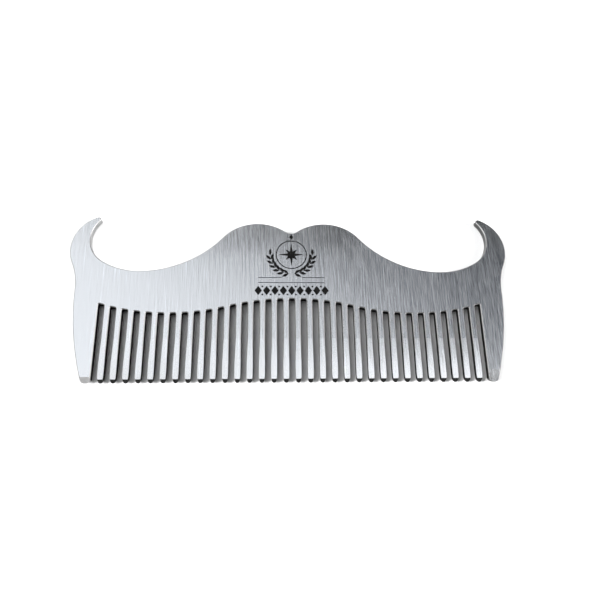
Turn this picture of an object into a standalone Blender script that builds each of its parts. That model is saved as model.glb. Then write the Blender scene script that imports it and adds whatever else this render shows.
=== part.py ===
"""Beard comb: one flat stainless steel plate, cut to a moustache outline over a row of straight teeth.

The plate lies on its back. X runs along the comb, Y points from the teeth to the moustache edge and
Z points up, out of the front face. The origin is the middle of the footprint, on the back face.
The outline is drawn for the half at +X, with y counted from the line of the tooth tips, and mirrored.
"""

import math

import bmesh
import bpy
from mathutils import Vector

MM = 0.001

# Plate
THICKNESS = 2.0 * MM
EDGE_BREAK = 0.2 * MM

# Teeth: one slot lies on the centre line, with SLOTS_PER_SIDE more on each side of it.
# The fine teeth are thinned on the front over THINNED_LENGTH and all tips are chamfered.
TOOTH_PITCH = 3.0 * MM
SLOT_WIDTH = 1.55 * MM
SLOTS_PER_SIDE = 16
SLOT_CORNER_RADIUS = 0.3 * MM
TIP_LENGTH = 2.3 * MM
TIP_BLUNTNESS = 2.7
TIP_CHAMFER_LENGTH = 1.4 * MM
TIP_CHAMFER_DEPTH = 0.85 * MM
THINNED_LENGTH = 11.0 * MM
THINNED_DEPTH = 0.36 * MM

# Front of the end tooth at +X: a long shallow bevel where the other tips have the steep chamfer
END_BEVEL_LENGTH = 2.95 * MM
END_BEVEL_DEPTH = 0.2 * MM

# Line of the slot ends: an arc over the centre that runs into an arc under each side
ROOT_CREST_HEIGHT = 21.65 * MM
ROOT_CREST_RADIUS = 67.0 * MM
ROOT_TROUGH = Vector((31.3, 17.72)) * MM

# Moustache edge: notch, hump, long scallop, dip, and the curl at the end
NOTCH_RADIUS = 2.8 * MM
HUMP_CENTRE = Vector((8.8, 30.8)) * MM
HUMP_RADIUS = 12.2 * MM
SCALLOP_RADIUS = 28.8 * MM
DIP_X = 39.5 * MM
DIP_RADIUS = 17.8 * MM
CURL_INNER_X = 44.9 * MM
CURL_INNER_RADIUS = 7.6 * MM
CURL_OUTER_CENTRE = Vector((47.5, 35.4)) * MM
CURL_OUTER_RADIUS = 9.9 * MM
CURL_TIP_RADIUS = 0.68 * MM

# Side: a hollow under the curl, then a bulging flank that narrows the end tooth to its tip
WAIST_X = 55.0 * MM
WAIST_RADIUS = 17.7 * MM
FLANK_RADIUS = 75.0 * MM
END_TOOTH_OUTER_CORNER = 0.8 * MM
END_TOOTH_INNER_CORNER = 1.1 * MM

# Fineness of the round stretches
CHORD = 0.9 * MM
SLOT_CORNER_STEPS = 3
SMALL_ARC_STEPS = 6
CURL_TIP_STEPS = 8
TOOTH_TIP_STEPS = 10
WELD_DISTANCE = 0.001 * MM
SHARP_ANGLE = math.radians(30.0)

# Cutters of the bevels at the tips: their ends lie clear of the comb, or in the last slots
CUTTER_END = 65.0 * MM
CUTTER_DEPTH = 24.0 * MM
LAST_SLOT_X = SLOTS_PER_SIDE * TOOTH_PITCH

UP = math.pi / 2.0
DOWN = -math.pi / 2.0


def clear_scene():
    for leftover in list(bpy.data.objects):
        bpy.data.objects.remove(leftover, do_unlink=True)


def make_collection(name):
    collection = bpy.data.collections.new(name)
    bpy.context.scene.collection.children.link(collection)
    return collection


def brushed_steel():
    material = bpy.data.materials.new("brushed_steel")
    material.use_nodes = True
    shader = material.node_tree.nodes["Principled BSDF"]
    shader.inputs["Base Color"].default_value = (0.63, 0.63, 0.61, 1.0)
    shader.inputs["Metallic"].default_value = 1.0
    shader.inputs["Roughness"].default_value = 0.34
    return material


def centre_at(x, distance, other, direction):
    """Centre at that x and distance from another centre: above it for direction 1, below it for -1."""
    return Vector((x, other.y + direction * math.sqrt(distance ** 2 - (x - other.x) ** 2)))


def meeting_point(first, first_distance, second, second_distance):
    """Point at the given distances from two centres, on the left of the way from first to second."""
    gap = (second - first).length
    along = (second - first) / gap
    step = (first_distance ** 2 - second_distance ** 2 + gap ** 2) / (2.0 * gap)
    side = math.sqrt(first_distance ** 2 - step ** 2)
    return first + along * step + Vector((-along.y, along.x)) * side


def angle_to(centre, point):
    return math.atan2(point.y - centre.y, point.x - centre.x)


def arc(centre, radius, start, end, steps=None):
    """Points on a circle from the start angle to the end angle, both ends included."""
    steps = steps or max(2, math.ceil(abs(end - start) * radius / CHORD))
    angles = [start + (end - start) * i / steps for i in range(steps + 1)]
    return [centre + Vector((math.cos(a), math.sin(a))) * radius for a in angles]


def rounded_corner(before, corner, after, radius):
    """Arc that rounds the corner between two straight edges."""
    back = (before - corner).normalized()
    ahead = (after - corner).normalized()
    half_angle = back.angle(ahead) / 2.0
    reach = radius / math.tan(half_angle)
    centre = corner + (back + ahead).normalized() * (radius / math.sin(half_angle))
    start = angle_to(centre, corner + back * reach)
    turn = math.remainder(angle_to(centre, corner + ahead * reach) - start, math.tau)
    return arc(centre, radius, start, start + turn, SLOT_CORNER_STEPS)


def root_height(x):
    """Height of the line of slot ends at x: a crest arc and a trough arc that touch each other."""
    drop = ROOT_CREST_HEIGHT - ROOT_TROUGH.y
    radius_sum = (ROOT_TROUGH.x ** 2 + drop ** 2) / (2.0 * drop)
    touching_x = ROOT_TROUGH.x * ROOT_CREST_RADIUS / radius_sum
    if abs(x) < touching_x:
        return ROOT_CREST_HEIGHT - ROOT_CREST_RADIUS + math.sqrt(ROOT_CREST_RADIUS ** 2 - x ** 2)
    trough_radius = radius_sum - ROOT_CREST_RADIUS
    run = abs(x) - ROOT_TROUGH.x
    return ROOT_TROUGH.y + trough_radius - math.sqrt(trough_radius ** 2 - run ** 2)


def slot_end(index):
    """Closed end of a slot, from its left side to its right side."""
    left_x = index * TOOTH_PITCH - SLOT_WIDTH / 2.0
    right_x = left_x + SLOT_WIDTH
    left = Vector((left_x, root_height(left_x)))
    right = Vector((right_x, root_height(right_x)))
    left_corner = rounded_corner(Vector((left_x, 0.0)), left, right, SLOT_CORNER_RADIUS)
    right_corner = rounded_corner(left, right, Vector((right_x, 0.0)), SLOT_CORNER_RADIUS)
    return left_corner + right_corner


def tooth_tip(index):
    """End of the tooth to the right of a slot: half a superellipse, from its left to its right side."""
    middle = (index + 0.5) * TOOTH_PITCH
    half_width = (TOOTH_PITCH - SLOT_WIDTH) / 2.0
    power = 2.0 / TIP_BLUNTNESS
    points = []
    for i in range(TOOTH_TIP_STEPS + 1):
        turn = math.pi * i / TOOTH_TIP_STEPS
        across = math.copysign(abs(math.cos(turn)) ** power, -math.cos(turn))
        along = math.sin(turn) ** power
        points.append(Vector((middle + half_width * across, TIP_LENGTH * (1.0 - along))))
    return points


def teeth_side():
    """Slots and fine teeth, from the top of the centre slot to the top of the last slot."""
    points = [p for p in slot_end(0) if p.x > 0.0]
    for index in range(SLOTS_PER_SIDE):
        points += tooth_tip(index)
        points += slot_end(index + 1)
    return points


def waist_centre():
    """Centre of the hollow under the curl, which touches the curl and the line x = WAIST_X."""
    return centre_at(WAIST_X + WAIST_RADIUS, CURL_OUTER_RADIUS + WAIST_RADIUS, CURL_OUTER_CENTRE, -1)


def end_tooth_side():
    """Tip of the wide end tooth, the flank and the hollow under the curl."""
    waist = waist_centre()
    flank = Vector((WAIST_X - FLANK_RADIUS, waist.y))
    inner_x = SLOTS_PER_SIDE * TOOTH_PITCH + SLOT_WIDTH / 2.0
    inner = Vector((inner_x + END_TOOTH_INNER_CORNER, END_TOOTH_INNER_CORNER))
    reach = FLANK_RADIUS - END_TOOTH_OUTER_CORNER
    run = math.sqrt(reach ** 2 - (flank.y - END_TOOTH_OUTER_CORNER) ** 2)
    outer = Vector((flank.x + run, END_TOOTH_OUTER_CORNER))
    flank_start = angle_to(flank, outer)
    points = arc(inner, END_TOOTH_INNER_CORNER, math.pi, math.pi + UP, SMALL_ARC_STEPS)
    points += arc(outer, END_TOOTH_OUTER_CORNER, DOWN, flank_start, SMALL_ARC_STEPS)
    points += arc(flank, FLANK_RADIUS, flank_start, 0.0)[1:]
    points += arc(waist, WAIST_RADIUS, math.pi, angle_to(waist, CURL_OUTER_CENTRE))[1:]
    return points


def curl():
    """The curl, from the hollow under it, round its tip, to the dip beside it."""
    dip = dip_centre()
    inner = centre_at(CURL_INNER_X, DIP_RADIUS - CURL_INNER_RADIUS, dip, -1)
    outer = CURL_OUTER_CENTRE
    inner_reach = CURL_INNER_RADIUS + CURL_TIP_RADIUS
    outer_reach = CURL_OUTER_RADIUS - CURL_TIP_RADIUS
    tip = meeting_point(inner, inner_reach, outer, outer_reach)
    tip_end = angle_to(tip, inner) + math.tau
    points = arc(outer, CURL_OUTER_RADIUS, angle_to(outer, waist_centre()), angle_to(outer, tip))[1:]
    points += arc(tip, CURL_TIP_RADIUS, angle_to(outer, tip), tip_end, CURL_TIP_STEPS)[1:]
    points += arc(inner, CURL_INNER_RADIUS, angle_to(inner, tip), angle_to(dip, inner))[1:]
    return points


def scallop_centre():
    """Centre of the long scallop, which touches the hump and is lowest at DIP_X."""
    return centre_at(DIP_X, HUMP_RADIUS + SCALLOP_RADIUS, HUMP_CENTRE, 1)


def dip_centre():
    """Centre of the tighter arc that goes on from the scallop's lowest point."""
    return Vector((DIP_X, scallop_centre().y - SCALLOP_RADIUS + DIP_RADIUS))


def moustache_edge():
    """Dip, scallop, hump and half of the notch, from the curl to the centre line."""
    scallop = scallop_centre()
    dip = dip_centre()
    inner = centre_at(CURL_INNER_X, DIP_RADIUS - CURL_INNER_RADIUS, dip, -1)
    notch = centre_at(0.0, HUMP_RADIUS + NOTCH_RADIUS, HUMP_CENTRE, 1)
    hump = HUMP_CENTRE
    points = arc(dip, DIP_RADIUS, angle_to(dip, inner), DOWN)[1:]
    points += arc(scallop, SCALLOP_RADIUS, DOWN, angle_to(scallop, hump))[1:]
    points += arc(hump, HUMP_RADIUS, angle_to(hump, scallop), angle_to(hump, notch))[1:]
    points += arc(notch, NOTCH_RADIUS, angle_to(notch, hump), DOWN, SMALL_ARC_STEPS)[1:]
    return points


def comb_outline():
    """Closed outline of the whole comb: the right half, then its mirror image back to the start."""
    right = teeth_side() + end_tooth_side() + curl() + moustache_edge()
    left = [Vector((-p.x, p.y)) for p in reversed(right[:-1])]
    return right + left


def flat_curve(name, outline):
    """Filled 2D curve as thick as the plate, its edges broken at 45 degrees on both faces."""
    curve = bpy.data.curves.new(name, "CURVE")
    curve.dimensions = "2D"
    curve.fill_mode = "BOTH"
    curve.extrude = THICKNESS / 2.0 - EDGE_BREAK
    curve.bevel_depth = EDGE_BREAK
    curve.bevel_resolution = 0
    curve.offset = -EDGE_BREAK
    spline = curve.splines.new("POLY")
    spline.points.add(len(outline) - 1)
    for point, place in zip(spline.points, outline):
        point.co = (place.x, place.y, 0.0, 1.0)
    spline.use_cyclic_u = True
    return bpy.data.objects.new(name, curve)


def as_mesh(curve_object, name):
    """Mesh object with the curve object's shape and place, its caps welded to its sides."""
    bpy.context.scene.collection.objects.link(curve_object)
    bpy.context.view_layer.update()
    evaluated = curve_object.evaluated_get(bpy.context.evaluated_depsgraph_get())
    mesh = bpy.data.meshes.new_from_object(evaluated)
    mesh.name = name
    shape = bmesh.new()
    shape.from_mesh(mesh)
    bmesh.ops.remove_doubles(shape, verts=shape.verts, dist=WELD_DISTANCE)
    bmesh.ops.recalc_face_normals(shape, faces=shape.faces)
    shape.to_mesh(mesh)
    shape.free()
    solid = bpy.data.objects.new(name, mesh)
    solid.matrix_world = curve_object.matrix_world
    bpy.data.objects.remove(curve_object, do_unlink=True)
    return solid


def bevel_cutter(name, start, end, length, depth, side=1):
    """Box from x = start to x = end whose inner face lies on a bevel at the tips, in front or behind."""
    bpy.ops.mesh.primitive_cube_add(size=1.0)
    cutter = bpy.context.active_object
    cutter.name = name
    cutter.scale = (end - start, CUTTER_DEPTH, CUTTER_DEPTH)
    bpy.ops.object.transform_apply(location=False, rotation=False, scale=True)
    slope = math.atan2(depth, length)
    face_height = THICKNESS * (1 + side) / 2.0
    outward = Vector((0.0, -math.sin(slope), side * math.cos(slope)))
    middle = Vector(((start + end) / 2.0, length / 2.0, face_height - side * depth / 2.0))
    cutter.rotation_euler.x = side * slope
    cutter.location = middle + outward * (CUTTER_DEPTH / 2.0)
    cutter.display_type = "WIRE"
    cutter.hide_render = True
    for home in list(cutter.users_collection):
        home.objects.unlink(cutter)
    return cutter


def bevel_cutters():
    """Cutters of the tip chamfers, front and back, and of the two longer bevels in front."""
    front = (-CUTTER_END, LAST_SLOT_X, TIP_CHAMFER_LENGTH, TIP_CHAMFER_DEPTH)
    back = (-CUTTER_END, CUTTER_END, TIP_CHAMFER_LENGTH, TIP_CHAMFER_DEPTH)
    thinned = (-LAST_SLOT_X, LAST_SLOT_X, THINNED_LENGTH, THINNED_DEPTH)
    end_tooth = (LAST_SLOT_X, CUTTER_END, END_BEVEL_LENGTH, END_BEVEL_DEPTH)
    return [
        bevel_cutter("front_tip_chamfer", *front),
        bevel_cutter("back_tip_chamfer", *back, side=-1),
        bevel_cutter("fine_teeth_thinning", *thinned),
        bevel_cutter("end_tooth_bevel", *end_tooth),
    ]


def cut(target, cutter):
    difference = target.modifiers.new(cutter.name, "BOOLEAN")
    difference.operation = "DIFFERENCE"
    difference.solver = "EXACT"
    difference.object = cutter


def build_comb():
    clear_scene()
    parts = make_collection("beard_comb")
    cutters = make_collection("cutters")
    outline = comb_outline()
    tip_line = bpy.data.objects.new("tip_line", None)
    tip_line.location.y = -max(p.y for p in outline) / 2.0
    parts.objects.link(tip_line)
    blank = flat_curve("comb_blank", outline)
    blank.location.z = THICKNESS / 2.0
    comb = as_mesh(blank, "comb")
    comb.parent = tip_line
    parts.objects.link(comb)
    for cutter in bevel_cutters():
        cutter.parent = tip_line
        cutters.objects.link(cutter)
        cut(comb, cutter)
    comb.data.materials.append(brushed_steel())
    comb.data.shade_smooth()
    comb.data.set_sharp_from_angle(angle=SHARP_ANGLE)


build_comb()
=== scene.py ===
"""Looks of the beard comb: the brushed steel plate, a generic printed ornament, and a plain studio.

Lengths are metres in the frame of the CAD model: X along the comb, Y from the teeth to the moustache
edge, Z up out of the front face. The floor is the plane under the comb.
"""

import math

import bmesh
import bpy
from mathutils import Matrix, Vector


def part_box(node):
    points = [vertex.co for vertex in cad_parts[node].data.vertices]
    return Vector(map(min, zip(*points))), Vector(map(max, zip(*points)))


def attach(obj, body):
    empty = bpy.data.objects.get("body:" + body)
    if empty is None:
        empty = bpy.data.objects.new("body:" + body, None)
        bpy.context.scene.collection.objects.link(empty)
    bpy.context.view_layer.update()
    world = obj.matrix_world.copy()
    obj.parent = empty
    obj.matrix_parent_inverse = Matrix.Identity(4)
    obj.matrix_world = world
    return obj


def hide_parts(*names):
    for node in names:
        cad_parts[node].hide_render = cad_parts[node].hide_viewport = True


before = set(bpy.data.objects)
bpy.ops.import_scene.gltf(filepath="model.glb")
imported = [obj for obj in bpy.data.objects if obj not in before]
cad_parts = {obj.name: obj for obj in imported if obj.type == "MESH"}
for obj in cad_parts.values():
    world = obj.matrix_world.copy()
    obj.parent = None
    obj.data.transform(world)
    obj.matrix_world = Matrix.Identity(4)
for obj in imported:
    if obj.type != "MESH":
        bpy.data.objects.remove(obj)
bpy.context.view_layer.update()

MM = 0.001

comb_low, comb_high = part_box("comb")
FACE_HEIGHT = comb_high.z

# Plate
WELD_DISTANCE = 0.002 * MM
FLAT_ANGLE = math.radians(0.2)
SHARP_ANGLE = math.radians(35.0)
FACE_NORMAL = 0.95
CHAMFER_NORMAL = 0.8
WALL_NORMAL = 0.3
LEAN_STEP = 0.05
TEETH_HEIGHT = 21.7 * MM
TEETH_HALF_WIDTH = 48.8 * MM
TIP_LENGTH = 0.95 * MM

# Finishes of the plate, in the order of its material slots
FACE, BROKEN_EDGE, OUTER_EDGE, SLOT_WALL, TOOTH_TIP, GROUND_TIP = range(6)

# Brushed steel: sizes of its marks along X, Y and Z, their shares of the tone, and their depths
GRAIN_CELL = (0.16 * MM, 3.0 * MM, 3.0 * MM)
STREAK_CELL = (0.4 * MM, 6.0 * MM, 6.0 * MM)
BLOTCH_CELL = (3.0 * MM, 6.0 * MM, 6.0 * MM)
SCRATCH_CELL = (0.3 * MM, 16.0 * MM, 16.0 * MM)
SCRATCH_EDGE = (0.62, 0.74)
GRAIN_SHARE = 0.45
STREAK_SHARE = 0.3
BLOTCH_SHARE = 0.25
GRAIN_DEPTH = 0.008 * MM
STREAK_DEPTH = 0.035 * MM
STEEL_DARK = (0.60, 0.61, 0.625, 1.0)
STEEL_LIGHT = (0.70, 0.71, 0.725, 1.0)
STEEL_SCRATCHED = (0.74, 0.76, 0.785, 1.0)
STEEL_ROUGHNESS = (0.15, 0.29)

# Near-black painted shade of the slot walls and tooth tips, and black print
STAIN_CELL = (1.6 * MM, 1.6 * MM, 0.8 * MM)
WEAR_CELL = (0.15 * MM, 1.5 * MM, 1.5 * MM)
WEAR_RANGE = (0.55, 0.85)
PRINT_AND_SHADE_BLACK = 0.003
WORN_LEVEL = 0.03
BLACK_ROUGHNESS = (0.6, 0.8)

# Ornament: a thin print on the front face, on the comb's centre line
PRINT_DEPTH = 0.01 * MM
PRINT_HEIGHT = 0.015 * MM
BAND_CENTRE = 1.5 * MM
BAND_LOZENGES = 9
BAND_PITCH = 2.15 * MM
BAND_HALF_LENGTH = 0.95 * MM
BAND_HALF_HEIGHT = 1.3 * MM
BAND_DOT_RADIUS = 0.24 * MM
BAND_DOT_OFFSET = 1.1 * MM
BAND_DOT_STEPS = 16
RULE_WIDTH = 0.16 * MM
RULE_HALF_LENGTH = 8.6 * MM
LOWER_RULE_HEIGHT = 3.7 * MM
UPPER_RULE_HEIGHT = 5.1 * MM
UPPER_RULE_START = 2.6 * MM
STAR_CENTRE = Vector((0.0, 11.6)) * MM
STAR_POINTS = 8
STAR_RADIUS = 3.3 * MM
STAR_MINOR_RADIUS = 2.1 * MM
STAR_VALLEY_RADIUS = 1.0 * MM
RING_RADIUS = 3.95 * MM
RING_WIDTH = 0.26 * MM
RING_STEPS = 48
WREATH_RADIUS = 5.5 * MM
WREATH_START = math.radians(-82.0)
WREATH_END = math.radians(-2.0)
LEAF_PAIRS = 6
LEAF_LENGTH = 1.9 * MM
LEAF_HALF_WIDTH = 0.36 * MM
LEAF_SPREAD = math.radians(32.0)
LEAF_STEPS = 6
FINIAL_OFFSET = 5.1 * MM
FINIAL_HALF_SIZE = 0.6 * MM
FINIAL_STRETCH = 1.3

# Studio
FLOOR_SIZE = 8.0
FLOOR_LEVEL = 0.74
KEY_ANGLE = math.radians(21.0)
LEFT_KEY_FROM = (-0.95, -0.14, 0.8)
LEFT_KEY_STRENGTH = 3.6
RIGHT_KEY_FROM = (1.1, -0.15, 0.6)
RIGHT_KEY_STRENGTH = 6.0
CAMERA_PLACE = Vector((-5.01, -53.75, 146.02)) * MM
CAMERA_TURN = (math.radians(20.1), math.radians(-2.52), math.radians(-0.83))
CAMERA_LENS = 36.0
CAMERA_SENSOR = 36.0
CAMERA_NEAR = 1.0 * MM
CAMERA_FAR = 20.0

# Sky: its edges are slopes of the direction, x / z to the right and y / z to the back, and each edge
# fades from its first slope to its second
LEAST_RISE = 0.1
HORIZON_RISE = (0.3, 0.45)
STRIP_FRONT_EDGE = (0.115, 0.135)
STRIP_BACK_EDGE = (0.185, 0.205)
STRIP_RIGHT_EDGE = (0.02, 0.12)
ROOF_BACK_EDGE = (0.62, 0.75)
ROOF_RIGHT_SHARE = 0.62
ROOF_BACK_SHARE = 0.785
ROOF_EDGE = (0.24, 0.44)
SHADE_BACK_EDGE = (0.46, 0.49)
SHADE_RIGHT_EDGE = (-0.3, -0.15)
SIDE_EDGE = (-0.06, 0.0)
HORIZON_LEVEL = 0.85
BEHIND_LEVEL = 3.0
FRONT_LEVEL = 0.4
RIGHT_LEVEL = 0.02
SHADE_LEVEL = 0.03
STRIP_LEFT = (1.2, 1.22, 1.24, 1.0)
STRIP_RIGHT = (2.0, 2.03, 2.06, 1.0)
ROOF_LIGHT = (1.36, 1.40, 1.45, 1.0)
ROOF_DARK = (0.02, 0.025, 0.04, 1.0)


def link(piece):
    bpy.context.scene.collection.objects.link(piece)
    return piece


def grey(level):
    return (level, level, level, 1.0)


class Nodes:
    """Short ways to add and wire the nodes of one material or world."""

    def __init__(self, owner):
        owner.use_nodes = True
        self.tree = owner.node_tree
        self.tree.nodes.clear()

    def add(self, kind, **settings):
        node = self.tree.nodes.new("ShaderNode" + kind)
        for name, value in settings.items():
            setattr(node, name, value)
        return node

    def wire(self, source, target):
        self.tree.links.new(source, target)

    def feed(self, socket, value):
        """Sets a socket to a number, or wires it when the value is another node's socket."""
        if isinstance(value, bpy.types.NodeSocket):
            self.wire(value, socket)
        else:
            socket.default_value = value

    def math(self, operation, first, second=0.0):
        node = self.add("Math", operation=operation)
        self.feed(node.inputs[0], first)
        self.feed(node.inputs[1], second)
        return node.outputs["Value"]

    def weigh(self, first, first_share, second, second_share):
        """Sum of two values, each times its share."""
        first_part = self.math("MULTIPLY", first, first_share)
        return self.math("ADD", first_part, self.math("MULTIPLY", second, second_share))

    def noise(self, place, cell, detail=2.0, roughness=0.5):
        """Noise whose cells have this size in metres along X, Y and Z."""
        scaled = self.add("Mapping")
        scaled.inputs["Scale"].default_value = [1.0 / length for length in cell]
        self.wire(place, scaled.inputs["Vector"])
        noise = self.add("TexNoise")
        noise.inputs["Scale"].default_value = 1.0
        noise.inputs["Detail"].default_value = detail
        noise.inputs["Roughness"].default_value = roughness
        self.wire(scaled.outputs["Vector"], noise.inputs["Vector"])
        return noise.outputs["Fac"]

    def spread(self, value, low, high, source_low=0.3, source_high=0.7):
        """Maps a value's usual range to low to high."""
        ranged = self.add("MapRange")
        ranged.inputs["From Min"].default_value = source_low
        ranged.inputs["From Max"].default_value = source_high
        ranged.inputs["To Min"].default_value = low
        ranged.inputs["To Max"].default_value = high
        self.wire(value, ranged.inputs["Value"])
        return ranged.outputs["Result"]

    def ramp(self, value, start, end):
        """Goes smoothly from 0 at start to 1 at end."""
        eased = self.add("MapRange", interpolation_type="SMOOTHSTEP")
        eased.inputs["From Min"].default_value = start
        eased.inputs["From Max"].default_value = end
        self.wire(value, eased.inputs["Value"])
        return eased.outputs["Result"]

    def blend(self, factor, first, second):
        mix = self.add("Mix", data_type="RGBA")
        self.wire(factor, mix.inputs[0])
        self.feed(mix.inputs[6], first)
        self.feed(mix.inputs[7], second)
        return mix.outputs[2]

    def bump(self, height, distance, under=None):
        bump = self.add("Bump")
        bump.inputs["Strength"].default_value = 1.0
        bump.inputs["Distance"].default_value = distance
        self.wire(height, bump.inputs["Height"])
        if under is not None:
            self.wire(under, bump.inputs["Normal"])
        return bump.outputs["Normal"]

    def surface(self):
        shader = self.add("BsdfPrincipled")
        output = self.add("OutputMaterial")
        self.wire(shader.outputs["BSDF"], output.inputs["Surface"])
        return shader


def brushed_face():
    """Steel brushed along Y: fine grain, longer streaks, faint blotches and a few bright scratches."""
    material = bpy.data.materials.new("brushed_face")
    nodes = Nodes(material)
    shader = nodes.surface()
    place = nodes.add("TexCoord").outputs["Object"]
    grain = nodes.noise(place, GRAIN_CELL, detail=3.0)
    streaks = nodes.noise(place, STREAK_CELL)
    blotches = nodes.noise(place, BLOTCH_CELL, detail=3.0, roughness=0.6)
    scratches = nodes.ramp(nodes.noise(place, SCRATCH_CELL, detail=1.0), *SCRATCH_EDGE)
    tone = nodes.weigh(grain, GRAIN_SHARE, streaks, STREAK_SHARE)
    tone = nodes.math("ADD", tone, nodes.math("MULTIPLY", blotches, BLOTCH_SHARE))
    colour = nodes.blend(nodes.spread(tone, 0.0, 1.0), STEEL_DARK, STEEL_LIGHT)
    colour = nodes.blend(scratches, colour, STEEL_SCRATCHED)
    nodes.wire(colour, shader.inputs["Base Color"])
    shader.inputs["Metallic"].default_value = 1.0
    nodes.wire(nodes.spread(tone, *STEEL_ROUGHNESS), shader.inputs["Roughness"])
    shader.inputs["Anisotropic"].default_value = 1.0
    along_x = nodes.add("CombineXYZ")
    along_x.inputs["X"].default_value = 1.0
    nodes.wire(along_x.outputs["Vector"], shader.inputs["Tangent"])
    normal = nodes.bump(grain, GRAIN_DEPTH)
    normal = nodes.bump(streaks, STREAK_DEPTH, under=normal)
    nodes.wire(normal, shader.inputs["Normal"])
    return material


def edge_steel(name, dark, light, roughness, cell, bump=0.0, painted_shade=0.0):
    """Steel that was cut or ground, mottled between two tones over cells of this size, with painted shade
    that darkens its colour towards +X by this share."""
    material = bpy.data.materials.new(name)
    nodes = Nodes(material)
    shader = nodes.surface()
    place = nodes.add("TexCoord").outputs["Object"]
    lines = nodes.noise(place, cell)
    stains = nodes.noise(place, STAIN_CELL)
    tone = nodes.weigh(lines, 0.5, stains, 0.5)
    colour = nodes.blend(nodes.spread(tone, 0.0, 1.0), grey(dark), grey(light))
    if painted_shade:
        parts = nodes.add("SeparateXYZ")
        nodes.wire(place, parts.inputs[0])
        # painted shade: the colour is blended towards black along +X
        share = nodes.math("MULTIPLY", nodes.ramp(parts.outputs["X"], -comb_high.x, comb_high.x), painted_shade)
        colour = nodes.blend(share, colour, grey(0.0))
    nodes.wire(colour, shader.inputs["Base Color"])
    shader.inputs["Metallic"].default_value = 1.0
    nodes.wire(nodes.spread(tone, *roughness), shader.inputs["Roughness"])
    if bump:
        nodes.wire(nodes.bump(lines, bump), shader.inputs["Normal"])
    return material


def broken_edge():
    """Broken edges, deburred by hand and duller than the face."""
    return edge_steel("broken_edge", 0.16, 0.25, (0.5, 0.6), (0.5 * MM, 0.5 * MM, 0.5 * MM))


def ground_tip():
    """Steep chamfers at the tips of the end teeth, ground bright."""
    return edge_steel("ground_tip", 0.66, 0.88, (0.3, 0.4), (0.7 * MM, 0.7 * MM, 0.7 * MM))


def outer_edge():
    """Outer edge of the plate, with faint marks that run round it. Its colour is darkened towards +X by
    painted shade, only because the photo is darker there."""
    grain = (1.2 * MM, 1.2 * MM, 0.12 * MM)
    return edge_steel("outer_edge", 0.34, 0.5, (0.3, 0.4), grain, bump=0.002 * MM, painted_shade=0.75)


def painted_shade_black(name, light, cell, bump):
    """Cut steel coloured near black as painted shade, with lines of this size."""
    material = bpy.data.materials.new(name)
    nodes = Nodes(material)
    shader = nodes.surface()
    place = nodes.add("TexCoord").outputs["Object"]
    lines = nodes.noise(place, cell)
    colour = nodes.blend(nodes.spread(lines, 0.0, 1.0), grey(PRINT_AND_SHADE_BLACK), grey(light))
    nodes.wire(colour, shader.inputs["Base Color"])
    nodes.wire(nodes.spread(lines, *BLACK_ROUGHNESS), shader.inputs["Roughness"])
    nodes.wire(nodes.bump(lines, bump), shader.inputs["Normal"])
    shader.inputs["Specular IOR Level"].default_value = 0.08
    return material


def slot_wall():
    """Walls of the slots, with striations that run through the plate, coloured near black as painted
    shade.
    """
    return painted_shade_black("slot_wall", 0.012, (0.14 * MM, 0.14 * MM, 2.5 * MM), 0.005 * MM)


def tooth_tip():
    """Tips of the fine teeth, coloured near black as painted shade."""
    return painted_shade_black("tooth_tip", 0.018, (0.3 * MM, 0.3 * MM, 0.3 * MM), 0.01 * MM)


def black_print():
    """Matt black print, worn a little along the grain."""
    material = bpy.data.materials.new("black_print")
    nodes = Nodes(material)
    shader = nodes.surface()
    place = nodes.add("TexCoord").outputs["Object"]
    wear = nodes.noise(place, WEAR_CELL, detail=3.0)
    worn = nodes.spread(wear, 0.0, 1.0, *WEAR_RANGE)
    nodes.wire(nodes.blend(worn, grey(PRINT_AND_SHADE_BLACK), grey(WORN_LEVEL)), shader.inputs["Base Color"])
    nodes.wire(nodes.spread(wear, *BLACK_ROUGHNESS), shader.inputs["Roughness"])
    shader.inputs["Specular IOR Level"].default_value = 0.05
    return material


def finish_of(face):
    """Finish of one face of the plate, from how it leans and where it is."""
    lean = abs(face.normal.z)
    middle = face.calc_center_median()
    height = middle.y - comb_low.y
    among_teeth = abs(middle.x) < TEETH_HALF_WIDTH and height < TEETH_HEIGHT
    if lean > FACE_NORMAL:
        return FACE
    # the lowest stretch of each fine tooth gets the near-black tooth_tip finish: painted shade
    if among_teeth and height < TIP_LENGTH:
        return TOOTH_TIP
    if lean > CHAMFER_NORMAL:
        return GROUND_TIP
    if lean > WALL_NORMAL:
        return BROKEN_EDGE
    # slot walls get the near-black slot_wall finish: painted shade
    return SLOT_WALL if among_teeth else OUTER_EDGE


def flows_on(edge):
    """Whether the two faces of an edge are one rounded stretch: they lean alike and turn a little."""
    first, second = (face.normal for face in edge.link_faces)
    alike = abs(first.z) < FACE_NORMAL and abs(first.z - second.z) < LEAN_STEP
    return alike and first.angle(second) < SHARP_ANGLE


def plate_piece():
    """The plate: the CAD solid welded, its flat faces joined up and its curved edges shaded round."""
    piece = link(bpy.data.objects.new("comb_plate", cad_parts["comb"].data.copy()))
    piece.data.name = "comb_plate"
    piece.data.materials.clear()
    for finish in (brushed_face, broken_edge, outer_edge, slot_wall, tooth_tip, ground_tip):
        piece.data.materials.append(finish())
    shape = bmesh.new()
    shape.from_mesh(piece.data)
    bmesh.ops.remove_doubles(shape, verts=shape.verts, dist=WELD_DISTANCE)
    bmesh.ops.dissolve_limit(shape, angle_limit=FLAT_ANGLE, verts=shape.verts, edges=shape.edges)
    for face in shape.faces:
        face.material_index = finish_of(face)
        face.smooth = True
    for edge in shape.edges:
        edge.smooth = flows_on(edge)
    shape.to_mesh(piece.data)
    shape.free()
    return piece


def lozenge(centre, half_length, half_height):
    sides = (Vector((half_length, 0.0)), Vector((0.0, half_height)))
    return [centre + sides[0], centre + sides[1], centre - sides[0], centre - sides[1]]


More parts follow.
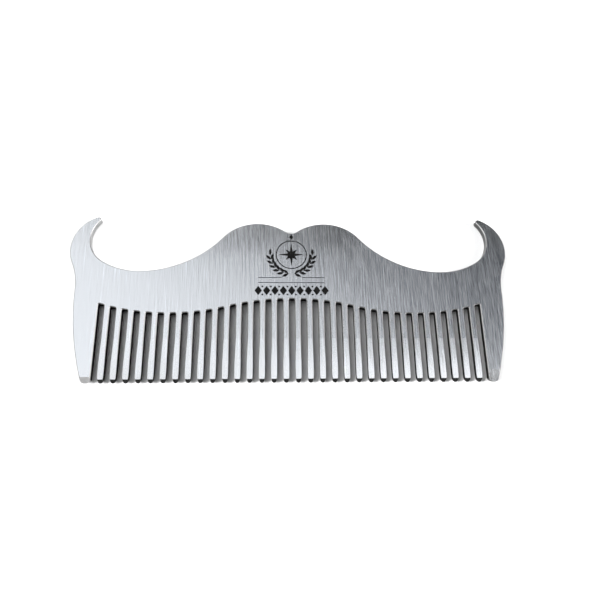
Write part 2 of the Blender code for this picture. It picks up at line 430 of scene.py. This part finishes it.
def disc(centre, radius):
    turns = [math.tau * i / BAND_DOT_STEPS for i in range(BAND_DOT_STEPS)]
    return [centre + Vector((math.cos(t), math.sin(t))) * radius for t in turns]


def rule(start, end, height):
    half = RULE_WIDTH / 2.0
    return [Vector((x, height + y)) for x, y in ((start, -half), (end, -half), (end, half), (start, half))]


def leaf(foot, angle):
    """Pointed leaf with its foot at a point, growing in the direction of the angle."""
    along = Vector((math.cos(angle), math.sin(angle)))
    across = Vector((-along.y, along.x))
    upper = []
    lower = []
    for i in range(LEAF_STEPS + 1):
        part = i / LEAF_STEPS
        middle = foot + along * (LEAF_LENGTH * part)
        width = across * (LEAF_HALF_WIDTH * math.sin(math.pi * part))
        upper.append(middle + width)
        lower.append(middle - width)
    return lower + upper[-2:0:-1]


def star_point(index):
    """One point of the star, long or short in turn, with its foot at the centre."""
    angle = math.tau * index / STAR_POINTS
    side = math.pi / STAR_POINTS
    radius = STAR_MINOR_RADIUS if index % 2 else STAR_RADIUS
    tip = Vector((math.cos(angle), math.sin(angle))) * radius
    right = Vector((math.cos(angle - side), math.sin(angle - side))) * STAR_VALLEY_RADIUS
    left = Vector((math.cos(angle + side), math.sin(angle + side))) * STAR_VALLEY_RADIUS
    return [STAR_CENTRE, STAR_CENTRE + right, STAR_CENTRE + tip, STAR_CENTRE + left]


def ring_segment(index):
    """One of the short straight pieces that make the ring round the star."""
    turns = (math.tau * index / RING_STEPS, math.tau * (index + 1) / RING_STEPS)
    ways = [Vector((math.cos(t), math.sin(t))) for t in turns]
    outer = [STAR_CENTRE + way * (RING_RADIUS + RING_WIDTH / 2.0) for way in ways]
    inner = [STAR_CENTRE + way * (RING_RADIUS - RING_WIDTH / 2.0) for way in ways]
    return outer + inner[::-1]


def band():
    """Row of lozenges with dots between them."""
    first = -(BAND_LOZENGES - 1) / 2.0
    shapes = []
    for i in range(BAND_LOZENGES):
        x = (first + i) * BAND_PITCH
        shapes.append(lozenge(Vector((x, BAND_CENTRE)), BAND_HALF_LENGTH, BAND_HALF_HEIGHT))
    for i in range(BAND_LOZENGES - 1):
        x = (first + i + 0.5) * BAND_PITCH
        for side in (-1, 1):
            shapes.append(disc(Vector((x, BAND_CENTRE + side * BAND_DOT_OFFSET)), BAND_DOT_RADIUS))
    return shapes


def wreath():
    """Two sprigs of leaves that curve up round the star."""
    shapes = []
    for i in range(LEAF_PAIRS + 1):
        turn = WREATH_START + (WREATH_END - WREATH_START) * i / LEAF_PAIRS
        foot = Vector((math.cos(turn), math.sin(turn))) * WREATH_RADIUS
        spreads = (0.0,) if i == LEAF_PAIRS else (-LEAF_SPREAD, LEAF_SPREAD)
        for spread in spreads:
            right = leaf(foot, turn + math.pi / 2.0 + spread)
            left = [Vector((-p.x, p.y)) for p in reversed(right)]
            shapes += [[STAR_CENTRE + p for p in right], [STAR_CENTRE + p for p in left]]
    return shapes


def ornament_shapes():
    finial = STAR_CENTRE + Vector((0.0, FINIAL_OFFSET))
    shapes = band() + wreath()
    shapes += [star_point(i) for i in range(STAR_POINTS)]
    shapes += [ring_segment(i) for i in range(RING_STEPS)]
    shapes.append(lozenge(finial, FINIAL_HALF_SIZE, FINIAL_STRETCH * FINIAL_HALF_SIZE))
    shapes.append(rule(-RULE_HALF_LENGTH, RULE_HALF_LENGTH, LOWER_RULE_HEIGHT))
    for side in (-1, 1):
        ends = sorted((side * UPPER_RULE_START, side * RULE_HALF_LENGTH))
        shapes.append(rule(*ends, UPPER_RULE_HEIGHT))
    return shapes


def print_piece():
    """The ornament: each shape a thin solid that stands in the face and just proud of it."""
    shape = bmesh.new()
    foot = FACE_HEIGHT - PRINT_DEPTH
    for outline in ornament_shapes():
        corners = [shape.verts.new((p.x, p.y, foot)) for p in outline]
        base = shape.faces.new(corners)
        raised = bmesh.ops.extrude_face_region(shape, geom=[base])["geom"]
        moved = [item for item in raised if isinstance(item, bmesh.types.BMVert)]
        bmesh.ops.translate(shape, verts=moved, vec=(0.0, 0.0, PRINT_DEPTH + PRINT_HEIGHT))
    bmesh.ops.recalc_face_normals(shape, faces=shape.faces)
    mesh = bpy.data.meshes.new("printed_ornament")
    shape.to_mesh(mesh)
    shape.free()
    mesh.materials.append(black_print())
    return link(bpy.data.objects.new("printed_ornament", mesh))


def floor():
    """Plain pale floor under the comb."""
    material = bpy.data.materials.new("pale_floor")
    nodes = Nodes(material)
    shader = nodes.surface()
    shader.inputs["Base Color"].default_value = grey(FLOOR_LEVEL)
    shader.inputs["Roughness"].default_value = 0.9
    shader.inputs["Specular IOR Level"].default_value = 0.1
    mesh = bpy.data.meshes.new("floor")
    half = FLOOR_SIZE / 2.0
    height = comb_low.z
    corners = [(-half, -half, height), (half, -half, height), (half, half, height), (-half, half, height)]
    mesh.from_pydata(corners, [], [(0, 1, 2, 3)])
    mesh.materials.append(material)
    ground = link(bpy.data.objects.new("floor", mesh))


def studio_tent():
    """Soft light from the left and overhead, dark on the right, with a strip light just behind overhead
    and a pale band along the horizon. The light and dark patches are placed and sized so that, from the
    photo's angle, the comb reflects them as it does in the photo."""
    world = bpy.data.worlds.new("studio_tent")
    nodes = Nodes(world)
    parts = nodes.add("SeparateXYZ")
    nodes.wire(nodes.add("TexCoord").outputs["Generated"], parts.inputs[0])
    x, y, z = parts.outputs
    rise = nodes.math("MAXIMUM", z, LEAST_RISE)
    right = nodes.math("DIVIDE", x, rise)
    back = nodes.math("DIVIDE", y, rise)
    across = nodes.weigh(right, ROOF_RIGHT_SHARE, back, ROOF_BACK_SHARE)
    roof = nodes.blend(nodes.ramp(across, *ROOF_EDGE), ROOF_LIGHT, ROOF_DARK)
    shade_back = nodes.ramp(back, *SHADE_BACK_EDGE)
    shade = nodes.math("MULTIPLY", shade_back, nodes.ramp(right, *SHADE_RIGHT_EDGE))
    roof = nodes.blend(shade, roof, grey(SHADE_LEVEL))
    on_right = nodes.ramp(right, *SIDE_EDGE)
    behind = nodes.blend(on_right, grey(BEHIND_LEVEL), grey(RIGHT_LEVEL))
    front = nodes.blend(on_right, grey(FRONT_LEVEL), grey(RIGHT_LEVEL))
    strip = nodes.blend(nodes.ramp(right, *STRIP_RIGHT_EDGE), STRIP_LEFT, STRIP_RIGHT)
    upper = nodes.blend(nodes.ramp(back, *ROOF_BACK_EDGE), roof, behind)
    upper = nodes.blend(nodes.ramp(back, *STRIP_BACK_EDGE), strip, upper)
    upper = nodes.blend(nodes.ramp(back, *STRIP_FRONT_EDGE), front, upper)
    colour = nodes.blend(nodes.ramp(z, *HORIZON_RISE), grey(HORIZON_LEVEL), upper)
    background = nodes.add("Background")
    nodes.wire(colour, background.inputs["Color"])
    output = nodes.add("OutputWorld")
    nodes.wire(background.outputs["Background"], output.inputs["Surface"])
    bpy.context.scene.world = world


def key_light(name, direction, strength):
    """Large soft light, far away in that direction from the comb."""
    light = bpy.data.lights.new(name, "SUN")
    light.angle = KEY_ANGLE
    light.energy = strength
    lamp = link(bpy.data.objects.new(name, light))
    lamp.rotation_mode = "QUATERNION"
    lamp.rotation_quaternion = (-Vector(direction)).to_track_quat("-Z", "Y")


def camera():
    lens = bpy.data.cameras.new("camera")
    lens.lens = CAMERA_LENS
    lens.sensor_width = CAMERA_SENSOR
    lens.clip_start = CAMERA_NEAR
    lens.clip_end = CAMERA_FAR
    view = link(bpy.data.objects.new("camera", lens))
    view.location = CAMERA_PLACE
    view.rotation_euler = CAMERA_TURN
    bpy.context.scene.camera = view


plate = plate_piece()
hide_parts("comb")
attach(plate, "root")
ornament = print_piece()
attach(ornament, "root")
floor()
studio_tent()
key_light("left_key", LEFT_KEY_FROM, LEFT_KEY_STRENGTH)
key_light("right_key", RIGHT_KEY_FROM, RIGHT_KEY_STRENGTH)
camera()
bpy.context.scene.view_settings.view_transform = "Standard"
